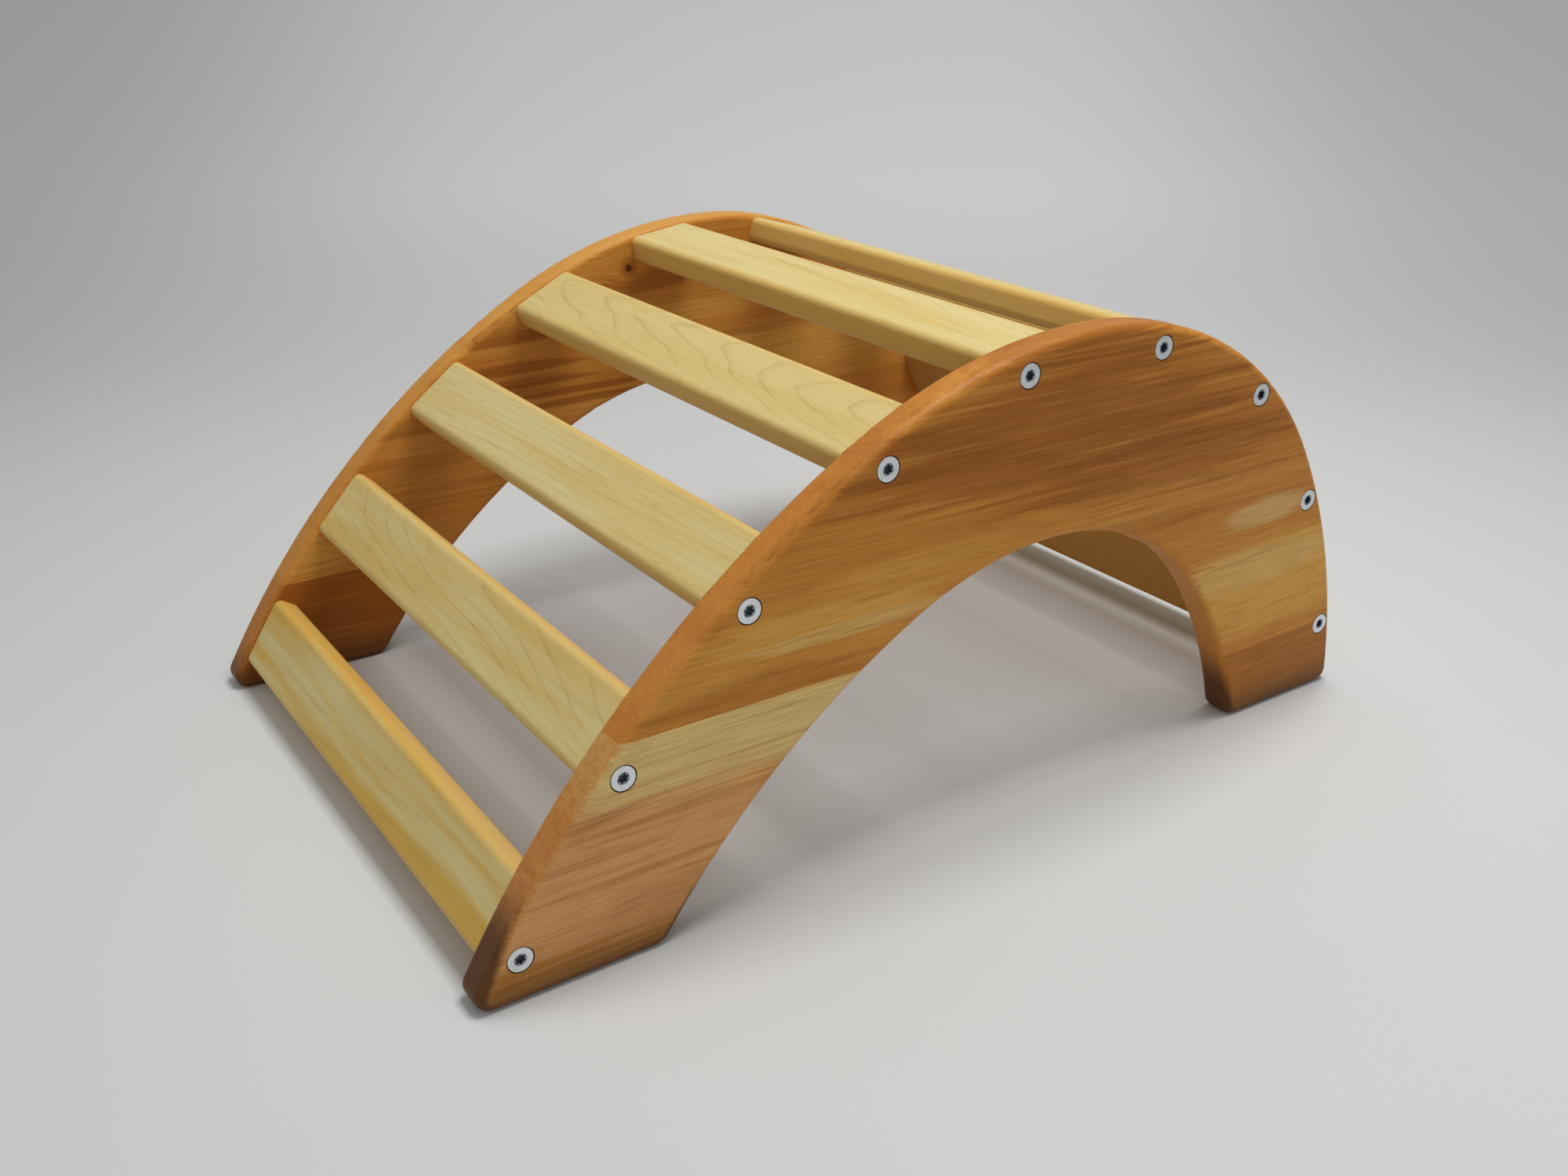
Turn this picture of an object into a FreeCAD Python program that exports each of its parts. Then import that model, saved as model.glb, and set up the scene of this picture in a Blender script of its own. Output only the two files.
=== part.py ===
"""Backbend bench: two arched side panels of glued boards, nine cross slats, screws and dowels.

Millimetres, +Z up. X runs along the bench from the gentle front slope to the steep rear one,
Y runs across it from the near panel to the far one. The origin is on the floor, in the middle
of the bench's length and width.
"""
import FreeCAD, Part
import math
import os
import Sketcher
from FreeCAD import Placement, Rotation, Vector

# Driving dimensions: name, value, what it is
DIMENSIONS = [
    ("bench_width", 472.0, "over the outer faces of the two side panels"),
    ("panel_thickness", 24.0, "side panel board"),
    ("crown_height", 316.0, "highest point of the outer edge above the floor"),
    ("front_upper_radius", 350.0, "outer edge, in front of the crown"),
    ("front_break_height", 271.0, "where the outer edge flattens towards the front foot"),
    ("front_lower_radius", 677.0, "outer edge, down to the front foot"),
    ("rear_upper_radius", 251.0, "outer edge, behind the crown"),
    ("rear_break_height", 200.5, "where the outer edge flattens towards the rear foot"),
    ("rear_lower_radius", 436.0, "outer edge, down to the rear foot"),
    ("arch_setback", 27.5, "top of the arch, in front of the crown"),
    ("arch_height", 186.0, "top of the arch opening above the floor"),
    ("arch_front_upper_radius", 234.0, "arch opening, in front of its top"),
    ("arch_front_break_height", 159.0, "where the opening flattens towards the front foot"),
    ("arch_front_lower_radius", 493.0, "arch opening, down to the front foot"),
    ("arch_rear_upper_radius", 173.5, "arch opening, behind its top"),
    ("arch_rear_break_height", 112.5, "where the opening flattens towards the rear foot"),
    ("arch_rear_lower_radius", 321.5, "arch opening, down to the rear foot"),
    ("toe_radius", 9.5, "outer corners of the feet"),
    ("heel_radius", 12.0, "inner corners of the feet, at the arch opening"),
    ("outer_face_round", 6.0, "edge rounding of a panel's outer face"),
    ("inner_face_round", 5.0, "edge rounding of a panel's inner face"),
    ("near_joint_height", 138.5, "glue joint between the boards of the near panel"),
    ("far_joint_height", 77.0, "glue joint between the boards of the far panel"),
    ("slat_width", 54.0, "cross slat, along the arch"),
    ("slat_thickness", 20.0, "cross slat"),
    ("slat_edge_round", 5.5, "rounding of a slat's four long edges"),
    ("slat_recess", 2.8, "slat face, below the panels' outer edge"),
    ("rear_slat_recess", 1.0, "slat face, below the outer edge on the steep rear side"),
    ("first_slat_distance", 54.0, "lowest front slat's middle, along the outer edge from the floor"),
    ("crown_slat_distance", 51.7, "middle of the last slat before the crown, along the edge from it"),
    ("last_slat_distance", 42.5, "lowest rear slat's middle, along the outer edge from the floor"),
    ("fixing_spacing", 25.0, "from a slat's screw to its dowel, each side of its middle"),
    ("fixing_sink", 1.8, "screws and dowels, below the middle of a slat's thickness"),
    ("screw_length", 90.0, "over all"),
    ("screw_head_diameter", 15.2, "countersunk head"),
    ("screw_head_rim", 0.45, "straight rim of the head"),
    ("screw_shank_diameter", 6.0, "plain shank through the panel"),
    ("screw_thread_diameter", 8.0, "outer diameter of the wood thread"),
    ("screw_thread_length", 54.0, "thread with its point"),
    ("screw_point_length", 9.0, "conical point"),
    ("socket_width", 6.75, "six-lobe socket, over the lobes"),
    ("socket_waist", 4.85, "six-lobe socket, between the lobes"),
    ("socket_depth", 4.2, "six-lobe socket"),
    ("socket_dish_diameter", 7.8, "dished mouth of the socket"),
    ("socket_dish_depth", 0.55, "dished mouth of the socket"),
    ("seat_diameter", 16.1, "drilled seat round the head, seen as a thin dark ring"),
    ("seat_depth", 1.5, "drilled seat round the head"),
    ("thread_clearance", 0.2, "a screw's hole in the panel, over the thread's diameter"),
    ("pilot_clearance", 0.04, "a screw's hole in the slat, over the thread's diameter"),
    ("pilot_extra_depth", 2.0, "a screw's hole in the slat, past the point"),
    ("dowel_diameter", 8.0, "beech dowel"),
    ("dowel_length", 36.0, "beech dowel"),
    ("dowel_panel_depth", 13.0, "part of the dowel that is inside the panel"),
    ("dowel_end_bevel", 0.8, "beech dowel"),
    ("dowel_clearance", 0.04, "dowel hole over the dowel's diameter"),
    ("dowel_hole_extra_depth", 1.0, "dowel hole, past the dowel's end"),
]
SIZE = {name: value for name, value, _ in DIMENSIONS}
FRONT_SLAT_COUNT = 5
REAR_SLAT_COUNT = 4
SLAT_COUNT = FRONT_SLAT_COUNT + REAR_SLAT_COUNT
DEEPER_SLAT_COUNT = 6
SOCKET_LOBE_RADIUS = 0.55
SCREW_TURN = 23.0
LEAST_CUT_RATIO = 0.85
CUTTER_OVERLAP = 1.0
SAME_PLACE = 1e-6
ORIGIN = Vector(0, 0, 0)
ALONG_Y = Placement(ORIGIN, Rotation(Vector(1, 0, 0), -90))

doc = FreeCAD.newDocument("BackbendBench")


def make_sheet():
    """The driving dimensions, one named cell each."""
    sheet = doc.addObject("Spreadsheet::Sheet", "Dimensions")
    for row, (name, value, meaning) in enumerate(DIMENSIONS, start=1):
        sheet.set(f"A{row}", meaning)
        sheet.set(f"B{row}", str(value))
        sheet.setAlias(f"B{row}", name)
    doc.recompute()
    return sheet


def origin_plane(body, role):
    """The body's own origin plane of that role, such as XZ_Plane."""
    return next(f for f in body.Origin.OriginFeatures if f.Role == role)


def new_sketch(body, name, role, offset=None):
    """A sketch on one of the body's origin planes; offset is a formula for its distance from it."""
    sketch = body.newObject("Sketcher::SketchObject", name)
    sketch.AttachmentSupport = [(origin_plane(body, role), "")]
    sketch.MapMode = "FlatFace"
    if offset is not None:
        sketch.setExpression("AttachmentOffset.Base.z", offset)
    return sketch


class Flank:
    """One side of an arch curve: an upper arc from the top point, then a lower arc to the floor."""

    def __init__(self, side, top_x, top_z, upper_radius, break_height, lower_radius):
        self.side = side
        self.upper_radius = upper_radius
        self.lower_radius = lower_radius
        self.upper_centre = Vector(top_x, 0, top_z - upper_radius)
        self.break_angle = math.acos((break_height - self.upper_centre.z) / upper_radius)
        outwards = self.outwards(self.break_angle)
        self.lower_centre = self.upper_centre + outwards * (upper_radius - lower_radius)
        self.floor_angle = math.acos(-self.lower_centre.z / lower_radius)
        self.upper_length = upper_radius * self.break_angle
        self.length = self.upper_length + lower_radius * (self.floor_angle - self.break_angle)

    def outwards(self, angle):
        """The direction at that angle from the vertical, on this side of the arch."""
        return Vector(self.side * math.sin(angle), 0, math.cos(angle))

    def at(self, length, inset=0.0):
        """The point that far along the edge from the top, and its angle from the vertical."""
        if length <= self.upper_length:
            angle = length / self.upper_radius
            return self.upper_centre + self.outwards(angle) * (self.upper_radius - inset), angle
        angle = self.break_angle + (length - self.upper_length) / self.lower_radius
        return self.lower_centre + self.outwards(angle) * (self.lower_radius - inset), angle

    def corner_centre(self, radius, outside):
        """Centre of the foot's corner arc, which touches the floor and the lower arc."""
        reach = self.lower_radius + (radius if outside else -radius)
        across = math.sqrt(reach ** 2 - (radius - self.lower_centre.z) ** 2)
        return Vector(self.lower_centre.x + self.side * across, 0, radius)


def outer_flanks(crown_x):
    """The outer edge's two flanks, with the crown at crown_x."""
    front = Flank(-1, crown_x, SIZE["crown_height"], SIZE["front_upper_radius"],
                  SIZE["front_break_height"], SIZE["front_lower_radius"])
    rear = Flank(1, crown_x, SIZE["crown_height"], SIZE["rear_upper_radius"],
                 SIZE["rear_break_height"], SIZE["rear_lower_radius"])
    return front, rear


def middle_of_feet():
    """X of the bench's middle, measured from the crown, so that the origin can be put there."""
    front, rear = outer_flanks(0.0)
    toe = SIZE["toe_radius"]
    front_end = front.corner_centre(toe, outside=False).x - toe
    rear_end = rear.corner_centre(toe, outside=False).x + toe
    return (front_end + rear_end) / 2


CROWN_X = -middle_of_feet()
ARCH_X = CROWN_X - SIZE["arch_setback"]
FRONT, REAR = outer_flanks(CROWN_X)
ARCH_FRONT = Flank(-1, ARCH_X, SIZE["arch_height"], SIZE["arch_front_upper_radius"],
                   SIZE["arch_front_break_height"], SIZE["arch_front_lower_radius"])
ARCH_REAR = Flank(1, ARCH_X, SIZE["arch_height"], SIZE["arch_rear_upper_radius"],
                  SIZE["arch_rear_break_height"], SIZE["arch_rear_lower_radius"])


def slat_place(number):
    """Centre of a slat in the XZ plane and its slope in degrees: it lies along the outer edge.

    The front slats are spaced evenly from the first one up to the crown slat, and the rear ones
    evenly from the crown slat down to the last one. A station is measured along the edge from the
    front foot.
    """
    crown_station = FRONT.length
    first = SIZE["first_slat_distance"]
    crown_slat = crown_station - SIZE["crown_slat_distance"]
    last = crown_station + REAR.length - SIZE["last_slat_distance"]
    if number <= FRONT_SLAT_COUNT:
        station = first + (crown_slat - first) * (number - 1) / (FRONT_SLAT_COUNT - 1)
    else:
        station = crown_slat + (last - crown_slat) * (number - FRONT_SLAT_COUNT) / REAR_SLAT_COUNT
    recess = SIZE["slat_recess"] if number <= DEEPER_SLAT_COUNT else SIZE["rear_slat_recess"]
    flank = FRONT if station < crown_station else REAR
    centre, angle = flank.at(abs(station - crown_station), recess + SIZE["slat_thickness"] / 2)
    return centre, -flank.side * math.degrees(angle)


def fixing_place(number, side):
    """Point in the XZ plane of a slat's screws (side -1, lower in front) or dowels (side 1)."""
    centre, slope = slat_place(number)
    angle = math.radians(slope)
    across = Vector(math.cos(angle), 0, math.sin(angle))
    inwards = Vector(math.sin(angle), 0, -math.cos(angle))
    return centre + across * (side * SIZE["fixing_spacing"] / 2) + inwards * SIZE["fixing_sink"]


class Outline:
    """A closed outline of tangent arcs and lines, in a sketch whose Y axis is the frame's Z."""

    def __init__(self, sketch):
        self.sketch = sketch
        self.ends = []

    def arc(self, centre, radius, start, end, cell=None):
        """An arc from start to end, shorter way round; its radius is bound to the cell."""
        start_angle = math.atan2(start.z - centre.z, start.x - centre.x)
        end_angle = math.atan2(end.z - centre.z, end.x - centre.x)
        turn = (end_angle - start_angle) % (2 * math.pi)
        anticlockwise = turn < math.pi
        circle = Part.Circle(Vector(centre.x, centre.z, 0), Vector(0, 0, 1), radius)
        if anticlockwise:
            index = self.sketch.addGeometry(Part.ArcOfCircle(circle, start_angle, end_angle))
        else:
            index = self.sketch.addGeometry(Part.ArcOfCircle(circle, end_angle, start_angle))
        self.ends.append((index, 1 if anticlockwise else 2, 2 if anticlockwise else 1))
        constraint = self.sketch.addConstraint(Sketcher.Constraint("Radius", index, radius))
        if cell is not None:
            self.sketch.setExpression(f"Constraints[{constraint}]", f"Dimensions.{cell}")
        return index

    def line(self, start, end):
        """A straight stretch."""
        segment = Part.LineSegment(Vector(start.x, start.z, 0), Vector(end.x, end.z, 0))
        index = self.sketch.addGeometry(segment)
        self.ends.append((index, 1, 2))
        return index

    def close(self):
        """Join each piece to the next, without a kink."""
        for this, following in zip(self.ends, self.ends[1:] + self.ends[:1]):
            self.sketch.addConstraint(
                Sketcher.Constraint("Tangent", this[0], this[2], following[0], following[1]))

    def height(self, index, vertex, cell):
        """Hold one end of a piece at a height above the floor."""
        constraint = self.sketch.addConstraint(
            Sketcher.Constraint("DistanceY", -1, 1, index, vertex, SIZE[cell]))
        self.sketch.setExpression(f"Constraints[{constraint}]", f"Dimensions.{cell}")


def on_floor(point):
    """The floor point straight below."""
    return Vector(point.x, 0, 0)


def touching(centre, corner, radius):
    """Where an arc of that radius about centre touches the corner arc."""
    return centre + (corner - centre).normalize() * radius


def draw_panel(sketch):
    """The side panel's outline: outer edge, rear foot, arch opening, front foot."""
    toe = SIZE["toe_radius"]
    heel = SIZE["heel_radius"]
    outline = Outline(sketch)

    def flank_pieces(flank, corner, corner_radius, cells, upwards):
        """The corner, lower and upper arc of a flank, in the order in which the outline runs."""
        corner_cell, lower_cell, upper_cell = cells
        top = flank.upper_centre + Vector(0, 0, flank.upper_radius)
        bend = flank.upper_centre + flank.outwards(flank.break_angle) * flank.upper_radius
        foot = touching(flank.lower_centre, corner, flank.lower_radius)
        pieces = [
            (corner, corner_radius, on_floor(corner), foot, corner_cell),
            (flank.lower_centre, flank.lower_radius, foot, bend, lower_cell),
            (flank.upper_centre, flank.upper_radius, bend, top, upper_cell),
        ]
        if not upwards:
            pieces = [(c, r, end, start, cell) for c, r, start, end, cell in reversed(pieces)]
        return [outline.arc(*piece) for piece in pieces]

    front_toe = FRONT.corner_centre(toe, outside=False)
    rear_toe = REAR.corner_centre(toe, outside=False)
    front_heel = ARCH_FRONT.corner_centre(heel, outside=True)
    rear_heel = ARCH_REAR.corner_centre(heel, outside=True)
    edge_front = flank_pieces(FRONT, front_toe, toe,
                              ("toe_radius", "front_lower_radius", "front_upper_radius"), True)
    edge_rear = flank_pieces(REAR, rear_toe, toe,
                             ("toe_radius", "rear_lower_radius", "rear_upper_radius"), False)
    rear_foot = outline.line(on_floor(rear_toe), on_floor(rear_heel))
    arch_rear = flank_pieces(ARCH_REAR, rear_heel, heel,
                             ("heel_radius", "arch_rear_lower_radius", "arch_rear_upper_radius"), True)
    arch_front = flank_pieces(ARCH_FRONT, front_heel, heel,
                              ("heel_radius", "arch_front_lower_radius", "arch_front_upper_radius"), False)
    front_foot = outline.line(on_floor(front_heel), on_floor(front_toe))
    outline.close()

    for foot in (rear_foot, front_foot):
        sketch.addConstraint(Sketcher.Constraint("PointOnObject", foot, 1, -1))
        sketch.addConstraint(Sketcher.Constraint("Horizontal", foot))
    # An anticlockwise arc ends on its left, so the top of a front flank's arc is its first end
    for upper, x, cell in ((edge_front[2], CROWN_X, "crown_height"),
                           (arch_front[0], ARCH_X, "arch_height")):
        sketch.addConstraint(Sketcher.Constraint("DistanceX", -1, 1, upper, 1, x))
        sketch.addConstraint(Sketcher.Constraint("Vertical", upper, 1, upper, 3))
        outline.height(upper, 1, cell)
    outline.height(edge_front[2], 2, "front_break_height")
    outline.height(edge_rear[0], 1, "rear_break_height")
    outline.height(arch_front[0], 2, "arch_front_break_height")
    outline.height(arch_rear[2], 1, "arch_rear_break_height")


def face_edges(shape, y):
    """Names of the edges round the flat face that lies at that Y."""
    face = next(f for f in shape.Faces if f.Surface.TypeId == "Part::GeomPlane"
                and abs(f.CenterOfMass.y - y) < SAME_PLACE and abs(f.normalAt(0, 0).y) > 0.999)
    return [f"Edge{i}" for i, edge in enumerate(shape.Edges, start=1)
            if any(edge.isSame(other) for other in face.Edges)]


def draw_circle(sketch, point, formula):
    """A circle round the point of the XZ plane; the formula gives its radius."""
    radius = float(sketch.evalExpression(formula))
    circle = Part.Circle(Vector(point.x, point.z, 0), Vector(0, 0, 1), radius)
    index = sketch.addGeometry(circle)
    sketch.addConstraint(Sketcher.Constraint("DistanceX", -1, 1, index, 3, point.x))
    sketch.addConstraint(Sketcher.Constraint("DistanceY", -1, 1, index, 3, point.z))
    constraint = sketch.addConstraint(Sketcher.Constraint("Radius", index, radius))
    sketch.setExpression(f"Constraints[{constraint}]", formula)


def round_face(body, name, base, y, cell):
    """Round the edges of the body's flat face at that Y."""
    fillet = body.newObject("PartDesign::Fillet", name)
    fillet.Base = (base, face_edges(base.Shape, y))
    fillet.setExpression("Radius", f"Dimensions.{cell}")
    doc.recompute()
    return fillet


def check_cut(before, after, tool_volume):
    """Stop when a cut takes off less than most of its tool, as one that misses the board does."""
    if before.Shape.Volume - after.Shape.Volume < LEAST_CUT_RATIO * tool_volume:
        raise RuntimeError(f"cut misses the board: {after.Label}")


def drill(body, name, before, point, offset, tool, diameter, depth):
    """A round blind hole at the point, from the plane at that offset; the last three are the
    tool's own dimension and the formulas of the hole's diameter and depth.
    """
    sketch = new_sketch(body, f"{name}_places", "XZ_Plane", offset)
    draw_circle(sketch, point, f"({diameter}) / 2")
    pocket = body.newObject("PartDesign::Pocket", name)
    pocket.Profile = sketch
    pocket.setExpression("Length", depth)
    doc.recompute()
    check_cut(before, pocket, math.pi / 4 * SIZE[tool] ** 2 * pocket.Length.Value)
    return pocket


def make_panel():
    """The whole near side panel, drilled, before it is told apart into its boards."""
    body = doc.addObject("PartDesign::Body", "near_panel")
    half_width = SIZE["bench_width"] / 2
    outer = "Dimensions.bench_width / 2"
    inner = "Dimensions.bench_width / 2 - Dimensions.panel_thickness"
    # A pad on the XZ plane grows towards -Y, so the outline lies on the inner face
    outline = new_sketch(body, "panel_outline", "XZ_Plane", inner)
    draw_panel(outline)
    pad = body.newObject("PartDesign::Pad", "panel_board")
    pad.Profile = outline
    pad.setExpression("Length", "Dimensions.panel_thickness")
    doc.recompute()
    outer_round = round_face(body, "panel_outer_round", pad, -half_width, "outer_face_round")
    inner_round = round_face(body, "panel_inner_round", outer_round,
                             SIZE["panel_thickness"] - half_width, "inner_face_round")

    body.Tip = inner_round
    return body


def make_screw_cutter():
    """What is cut from the near panel for a screw: the seat, the head's own cone and the hole."""
    seat = "Dimensions.seat_diameter / 2"
    seat_depth = "Dimensions.seat_depth"
    hole = "(Dimensions.screw_thread_diameter + Dimensions.thread_clearance) / 2"
    # The cone's radius is this less the depth below the panel's face
    cone = "Dimensions.screw_head_diameter / 2 + Dimensions.screw_head_rim"
    past_panel = f"Dimensions.panel_thickness + {CUTTER_OVERLAP}"
    body = turned_body("screw_cutter", [
        ("0", f"{-CUTTER_OVERLAP}"),
        (seat, f"{-CUTTER_OVERLAP}"),
        (seat, seat_depth),
        (f"{cone} - {seat_depth}", seat_depth),
        (hole, f"{cone} - {hole}"),
        (hole, past_panel),
        ("0", past_panel),
    ])
    return body


def make_dowel_cutter():
    """What is cut from the near panel for a dowel: a blind hole from the inner face."""
    cylinder = doc.addObject("Part::Cylinder", "dowel_cutter")
    depth = "Dimensions.dowel_panel_depth + Dimensions.dowel_hole_extra_depth"
    cylinder.setExpression("Radius", "(Dimensions.dowel_diameter + Dimensions.dowel_clearance) / 2")
    cylinder.setExpression("Height", f"{depth} + {CUTTER_OVERLAP}")
    cylinder.Placement = ALONG_Y
    cylinder.setExpression("Placement.Base.y",
                           f"-Dimensions.bench_width / 2 + Dimensions.panel_thickness - ({depth})")
    return cylinder


def bore_panel(panel):
    """The near panel with the seats and holes of its screws and dowels."""
    screw_cutter = make_screw_cutter()
    dowel_cutter = make_dowel_cutter()
    cutters = []
    for number in range(1, SLAT_COUNT + 1):
        cutters.append(gather(f"slat_{number}_screw_cut", [screw_cutter], fixing_place(number, -1)))
        cutters.append(gather(f"slat_{number}_dowel_cut", [dowel_cutter], fixing_place(number, 1)))
    bored = doc.addObject("Part::Cut", "near_bored_panel")
    bored.Base = panel
    bored.Tool = gather("panel_cuts", cutters)
    doc.recompute()
    check_cut(panel, bored, bored.Tool.Shape.Volume)
    return bored


def make_board(panel, name, joint_cell, side, top, front):
    """One of a panel's glued boards: above the joint, or the front or rear leg below it."""
    box = doc.addObject("Part::Box", f"{name}_blank")
    reach = 2 * SIZE["front_lower_radius"]
    box.setExpression("Width", "2 * Dimensions.panel_thickness")
    box.setExpression("Placement.Base.y",
                      f"{side} * Dimensions.bench_width / 2 - Dimensions.panel_thickness")
    if top:
        box.Length = 2 * reach
        box.Placement.Base.x = -reach
        box.Height = reach
        box.setExpression("Placement.Base.z", f"Dimensions.{joint_cell}")
    else:
        box.Length = reach
        box.Placement.Base.x = ARCH_X - reach if front else ARCH_X
        box.setExpression("Height", f"Dimensions.{joint_cell}")
    board = doc.addObject("Part::Common", name)
    board.Base = panel
    board.Tool = box
    board.Label = name
    return board


def make_slat(number):
    """One cross slat: a board with rounded long edges, drilled at both ends."""
    name = f"slat_{number}"
    body = doc.addObject("PartDesign::Body", name)
    body.Label = name
    half_width = SIZE["slat_width"] / 2
    half_thickness = SIZE["slat_thickness"] / 2
    half_length = "(Dimensions.bench_width / 2 - Dimensions.panel_thickness)"

    section = new_sketch(body, f"{name}_section", "XZ_Plane")
    corners = [Vector(x * half_width, z * half_thickness, 0)
               for x, z in ((-1, -1), (1, -1), (1, 1), (-1, 1))]
    for start, end in zip(corners, corners[1:] + corners[:1]):
        section.addGeometry(Part.LineSegment(start, end))
    for index in range(4):
        section.addConstraint(Sketcher.Constraint("Coincident", index, 2, (index + 1) % 4, 1))
    for index, direction in ((0, "Horizontal"), (1, "Vertical"), (2, "Horizontal"), (3, "Vertical")):
        section.addConstraint(Sketcher.Constraint(direction, index))
    section.addConstraint(Sketcher.Constraint("Symmetric", 0, 1, 2, 1, -1, 1))
    width = section.addConstraint(Sketcher.Constraint("DistanceX", 0, 1, 0, 2, SIZE["slat_width"]))
    section.setExpression(f"Constraints[{width}]", "Dimensions.slat_width")
    thickness = section.addConstraint(
        Sketcher.Constraint("DistanceY", 1, 1, 1, 2, SIZE["slat_thickness"]))
    section.setExpression(f"Constraints[{thickness}]", "Dimensions.slat_thickness")
    pad = body.newObject("PartDesign::Pad", f"{name}_board")
    pad.Profile = section
    pad.SideType = "Symmetric"
    pad.setExpression("Length", f"2 * {half_length}")
    doc.recompute()

    rounding = body.newObject("PartDesign::Fillet", f"{name}_round")
    long_edges = [f"Edge{i}" for i, edge in enumerate(pad.Shape.Edges, start=1)
                  if abs(edge.tangentAt(edge.FirstParameter).y) > 0.999]
    rounding.Base = (pad, long_edges)
    rounding.setExpression("Radius", "Dimensions.slat_edge_round")
    doc.recompute()

    places = [Vector(side * SIZE["fixing_spacing"] / 2, 0, -SIZE["fixing_sink"]) for side in (-1, 1)]
    pilot = drill(body, f"{name}_screw_holes", rounding, places[0], half_length,
                  "screw_thread_diameter",
                  "Dimensions.screw_thread_diameter + Dimensions.pilot_clearance",
                  "Dimensions.screw_length + Dimensions.pilot_extra_depth"
                  " - Dimensions.panel_thickness")
    socket = drill(body, f"{name}_dowel_holes", pilot, places[1], half_length,
                   "dowel_diameter", "Dimensions.dowel_diameter + Dimensions.dowel_clearance",
                   "Dimensions.dowel_length + Dimensions.dowel_hole_extra_depth"
                   " - Dimensions.dowel_panel_depth")
    mirrored = body.newObject("PartDesign::Mirrored", f"{name}_far_holes")
    mirrored.Originals = [pilot, socket]
    mirrored.MirrorPlane = (origin_plane(body, "XZ_Plane"), [""])
    body.Tip = mirrored

    centre, slope = slat_place(number)
    body.Placement = Placement(centre, Rotation(Vector(0, 1, 0), -slope))
    return body


def draw_profile(sketch, points):
    """A closed outline of straight stretches; a point is a pair of formulas, for X and for Y."""
    places = [[float(sketch.evalExpression(formula)) for formula in point] for point in points]
    for start, end in zip(places, places[1:] + places[:1]):
        sketch.addGeometry(Part.LineSegment(Vector(*start, 0), Vector(*end, 0)))
    for index, (point, place) in enumerate(zip(points, places)):
        following = (index + 1) % len(points)
        sketch.addConstraint(Sketcher.Constraint("Coincident", index, 2, following, 1))
        for direction, formula, value in zip(("DistanceX", "DistanceY"), point, place):
            constraint = sketch.addConstraint(
                Sketcher.Constraint(direction, -1, 1, index, 1, value))
            sketch.setExpression(f"Constraints[{constraint}]", formula)


def turned_body(name, points):
    """A body turned about the Y axis, starting from the near panel's outer face."""
    body = doc.addObject("PartDesign::Body", name)
    profile = new_sketch(body, f"{name}_profile", "XY_Plane")
    draw_profile(profile, points)
    turned = body.newObject("PartDesign::Revolution", f"{name}_turned")
    turned.Profile = profile
    turned.ReferenceAxis = (profile, ["V_Axis"])
    turned.Angle = 360
    body.setExpression("Placement.Base.y", "-Dimensions.bench_width / 2")
    doc.recompute()
    return body


def draw_socket(sketch):
    """Six rounded lobes with hollow flanks between them."""
    lobe = SOCKET_LOBE_RADIUS
    lobe_reach = SIZE["socket_width"] / 2 - lobe
    waist = SIZE["socket_waist"] / 2
    along = lobe_reach * math.cos(math.pi / 6)
    flank = ((lobe ** 2 - waist ** 2 + 2 * along * waist - lobe_reach ** 2)
             / (2 * waist - 2 * along - 2 * lobe))
    flank_reach = waist + flank
    for turn in range(6):
        angle = turn * math.pi / 3
        lobe_centre = Vector(math.cos(angle), math.sin(angle), 0) * lobe_reach
        flanks = [Vector(math.cos(angle + a), math.sin(angle + a), 0) * flank_reach
                  for a in (-math.pi / 6, math.pi / 6)]
        first, last = [flank_centre - lobe_centre for flank_centre in flanks]
        circle = Part.Circle(lobe_centre, Vector(0, 0, 1), lobe)
        sketch.addGeometry(Part.ArcOfCircle(circle, math.atan2(first.y, first.x),
                                            math.atan2(last.y, last.x)))
        next_centre = Vector(math.cos(angle + math.pi / 3), math.sin(angle + math.pi / 3), 0) * lobe_reach
        first, last = next_centre - flanks[1], lobe_centre - flanks[1]
        circle = Part.Circle(flanks[1], Vector(0, 0, 1), flank)
        sketch.addGeometry(Part.ArcOfCircle(circle, math.atan2(first.y, first.x),
                                            math.atan2(last.y, last.x)))
    for index in range(sketch.GeometryCount):
        sketch.addConstraint(Sketcher.Constraint("Block", index))


def make_screw():
    """A countersunk wood screw on the Y axis, its head flush with the near panel's face."""
    head = "Dimensions.screw_head_diameter / 2"
    rim = "Dimensions.screw_head_rim"
    shank = "Dimensions.screw_shank_diameter / 2"
    thread = "Dimensions.screw_thread_diameter / 2"
    length = "Dimensions.screw_length"
    dish = "Dimensions.socket_dish_diameter / 2"
    dish_depth = "Dimensions.socket_dish_depth"
    thread_start = f"{length} - Dimensions.screw_thread_length"
    body = turned_body("near_screw", [
        ("0", dish_depth),
        (f"{dish} - {dish_depth}", dish_depth),
        (dish, "0"),
        (f"{head} - {rim} / 2", "0"),
        (head, f"{rim} / 2"),
        (head, rim),
        (shank, f"{rim} + {head} - {shank}"),
        (shank, thread_start),
        (thread, f"{thread_start} + {thread} - {shank}"),
        (thread, f"{length} - Dimensions.screw_point_length"),
        ("0", length),
    ])
    socket = new_sketch(body, "screw_socket_shape", "XZ_Plane")
    draw_socket(socket)
    pocket = body.newObject("PartDesign::Pocket", "screw_socket")
    pocket.Profile = socket
    pocket.setExpression("Length", "Dimensions.socket_depth")
    body.Tip = pocket
    doc.recompute()
    return body


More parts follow.
